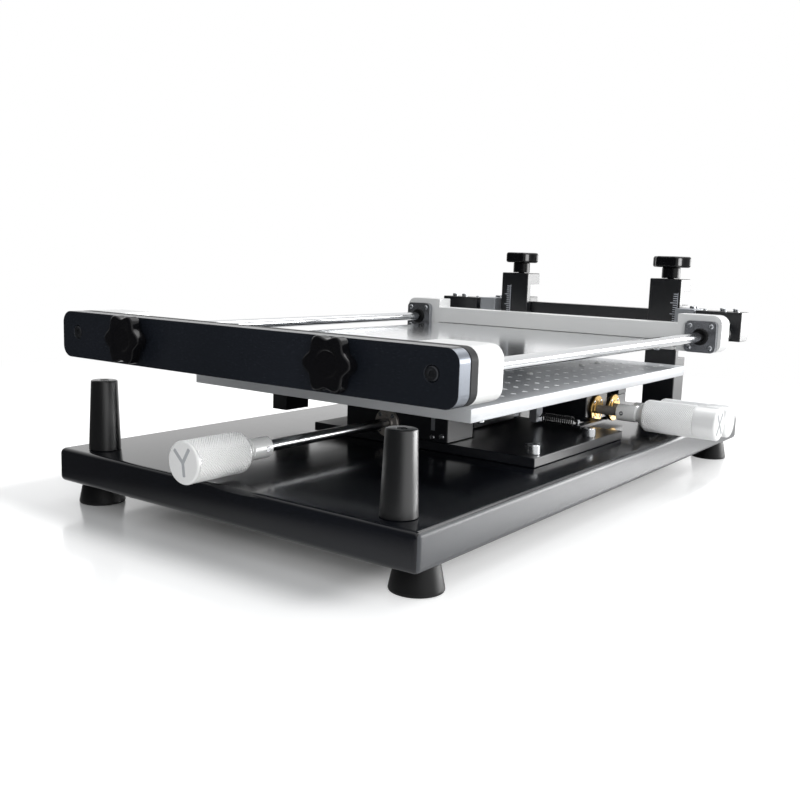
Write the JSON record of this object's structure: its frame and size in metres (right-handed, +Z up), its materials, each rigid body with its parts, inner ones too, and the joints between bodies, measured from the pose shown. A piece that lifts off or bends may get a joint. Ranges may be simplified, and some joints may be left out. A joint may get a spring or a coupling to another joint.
{
  "type": "solder paste stencil printer",
  "caption": "Bench stencil printer: a framed foil that lifts and swings up over a perforated platform with knurled X, Y and turning adjusters.",
  "frame": {"origin": "bottom centre of the bounding box, on the bench under the feet", "axes": "+X to the right side with the X and turning knobs, +Y from the front bar to the towers, +Z up"},
  "size_m": [0.42, 0.66, 0.2223],
  "materials": {
    "tray_paint": "gloss black powder coat",
    "foot_rubber": "moulded rubber",
    "bumper_rubber": "moulded rubber with a steel collar",
    "post_plastic": "satin",
    "knob_plastic": "polished",
    "black_anodised": "black anodised",
    "bare_aluminium": "satin, clear anodised",
    "ground_steel": "ground",
    "dark_steel": "dark chrome",
    "brass": "turned",
    "foil_steel": "rolled stainless foil"
  },
  "bodies": {
    "base": {"base_tray": "tray_paint", "foot_front_left": "foot_rubber", "foot_front_right": "foot_rubber", "foot_rear_left": "foot_rubber", "foot_rear_right": "foot_rubber", "rest_post_left": "post_plastic", "rest_post_right": "post_plastic", "tower_left": "black_anodised", "tower_right": "black_anodised", "stage_plate": "black_anodised", "plate_bolt_front": "ground_steel", "plate_bolt_rear": "ground_steel", "y_rail_left": "ground_steel", "y_rail_right": "ground_steel", "y_nut_block": "black_anodised", "y_nut_flange": "dark_steel"},
    "y_slide": {"y_slide_plate": "black_anodised", "x_rail_front": "ground_steel", "x_rail_rear": "ground_steel", "x_nut_block": "black_anodised", "x_nut_flange": "brass"},
    "y_screw": {"y_knob": "bare_aluminium", "y_screw": "dark_steel"},
    "x_slide": {"x_slide_plate": "black_anodised", "pivot_pin": "ground_steel", "turn_nut_block": "black_anodised", "turn_nut_flange": "brass", "spring_bracket": "bare_aluminium", "return_spring": "ground_steel"},
    "x_screw": {"x_knob": "bare_aluminium", "x_screw": "dark_steel"},
    "turn_pad": {"turn_push_pad": "ground_steel"},
    "turn_screw": {"turn_knob": "bare_aluminium", "turn_screw": "dark_steel"},
    "turntable": {"turning_plate": "black_anodised", "platform": "bare_aluminium"},
    "lift": {"lift_carriage_left": "black_anodised", "lift_carriage_right": "black_anodised", "cross_bar": "black_anodised", "hinge_block_left": "bare_aluminium", "hinge_block_right": "bare_aluminium"},
    "lift_screw_left": {"lift_knob_left": "knob_plastic"},
    "lift_screw_right": {"lift_knob_right": "knob_plastic"},
    "frame": {"arm_block_left": "black_anodised", "arm_block_right": "black_anodised", "guide_rod_left": "ground_steel", "guide_rod_right": "ground_steel", "rod_bumper_left": "bumper_rubber", "rod_bumper_right": "bumper_rubber", "front_plate": "black_anodised", "inner_plate": "black_anodised"},
    "front_clamp": {"front_clamp_bar": "bare_aluminium", "front_clamp_strip": "bare_aluminium", "stencil_foil": "foil_steel"},
    "tension_left": {"tension_knob_left": "knob_plastic"},
    "tension_right": {"tension_knob_right": "knob_plastic"},
    "rear_clamp": {"rear_clamp_bar": "bare_aluminium", "rear_clamp_strip": "bare_aluminium", "linear_bearing_left": "bare_aluminium", "linear_bearing_right": "bare_aluminium"}
  },
  "joints": [
    {"name": "y_adjust", "type": "slide", "parent": "base", "child": "y_slide", "axis": [0, 1, 0], "range_m": [-0.01, 0.01]},
    {"name": "y_screw_turn", "type": "hinge", "parent": "y_slide", "child": "y_screw", "pos_m": [-0.01605, -0.04305, 0.0655], "axis": [0, 1, 0], "range_deg": [-1801, 1801]},
    {"name": "x_adjust", "type": "slide", "parent": "y_slide", "child": "x_slide", "axis": [1, 0, 0], "range_m": [-0.01, 0.01], "deforming": ["return_spring"]},
    {"name": "x_screw_turn", "type": "hinge", "parent": "x_slide", "child": "x_screw", "pos_m": [0.00895, 0.11295, 0.0673], "axis": [1, 0, 0], "range_deg": [-1801, 1801]},
    {"name": "table_turn", "type": "hinge", "parent": "x_slide", "child": "turntable", "pos_m": [-0.01605, 0.02795, 0.089], "axis": [0, 0, 1], "range_deg": [-5, 5]},
    {"name": "turn_pad_push", "type": "slide", "parent": "x_slide", "child": "turn_pad", "axis": [1, 0, 0], "range_m": [-0.0112, 0.0112]},
    {"name": "turn_screw_turn", "type": "hinge", "parent": "turn_pad", "child": "turn_screw", "pos_m": [0.01995, 0.15495, 0.0645], "axis": [1, 0, 0], "range_deg": [-2010, 2010]},
    {"name": "lift_slide", "type": "slide", "parent": "base", "child": "lift", "axis": [0, 0, 1], "range_m": [-0.006, 0.014]},
    {"name": "lift_knob_left_turn", "type": "hinge", "parent": "base", "child": "lift_screw_left", "pos_m": [-0.11345, 0.30995, 0.1967], "axis": [0, 0, 1], "range_deg": [-1441, 3361]},
    {"name": "lift_knob_right_turn", "type": "hinge", "parent": "base", "child": "lift_screw_right", "pos_m": [0.08135, 0.30995, 0.1967], "axis": [0, 0, 1], "range_deg": [-1441, 3361]},
    {"name": "frame_hinge", "type": "hinge", "parent": "lift", "child": "frame", "pos_m": [-0.01605, 0.28795, 0.1557], "axis": [-1, 0, 0], "range_deg": [-1, 75]},
    {"name": "stencil_tension", "type": "slide", "parent": "frame", "child": "front_clamp", "axis": [0, 1, 0], "range_m": [0, 0.008]},
    {"name": "tension_knob_left_turn", "type": "hinge", "parent": "frame", "child": "tension_left", "pos_m": [-0.11805, -0.28905, 0.1409], "axis": [0, 1, 0], "range_deg": [-1, 2305]},
    {"name": "tension_knob_right_turn", "type": "hinge", "parent": "frame", "child": "tension_right", "pos_m": [0.08595, -0.28905, 0.1409], "axis": [0, 1, 0], "range_deg": [-1, 2305]},
    {"name": "rear_clamp_slide", "type": "slide", "parent": "frame", "child": "rear_clamp", "axis": [0, 1, 0], "range_m": [-0.2, 0.02]}
  ],
  "couplings": [
    {"joint": "y_screw_turn", "follows": "y_adjust", "rad_per_m": 3141.6},
    {"joint": "x_screw_turn", "follows": "x_adjust", "rad_per_m": 3141.6},
    {"joint": "turn_pad_push", "follows": "table_turn", "m_per_rad": -0.127},
    {"joint": "turn_screw_turn", "follows": "table_turn", "ratio": -398.98},
    {"joint": "lift_knob_left_turn", "follows": "lift_slide", "rad_per_m": 4188.8},
    {"joint": "lift_knob_right_turn", "follows": "lift_slide", "rad_per_m": 4188.8},
    {"joint": "tension_knob_left_turn", "follows": "stencil_tension", "rad_per_m": 5026.5},
    {"joint": "tension_knob_right_turn", "follows": "stencil_tension", "rad_per_m": 5026.5}
  ]
}
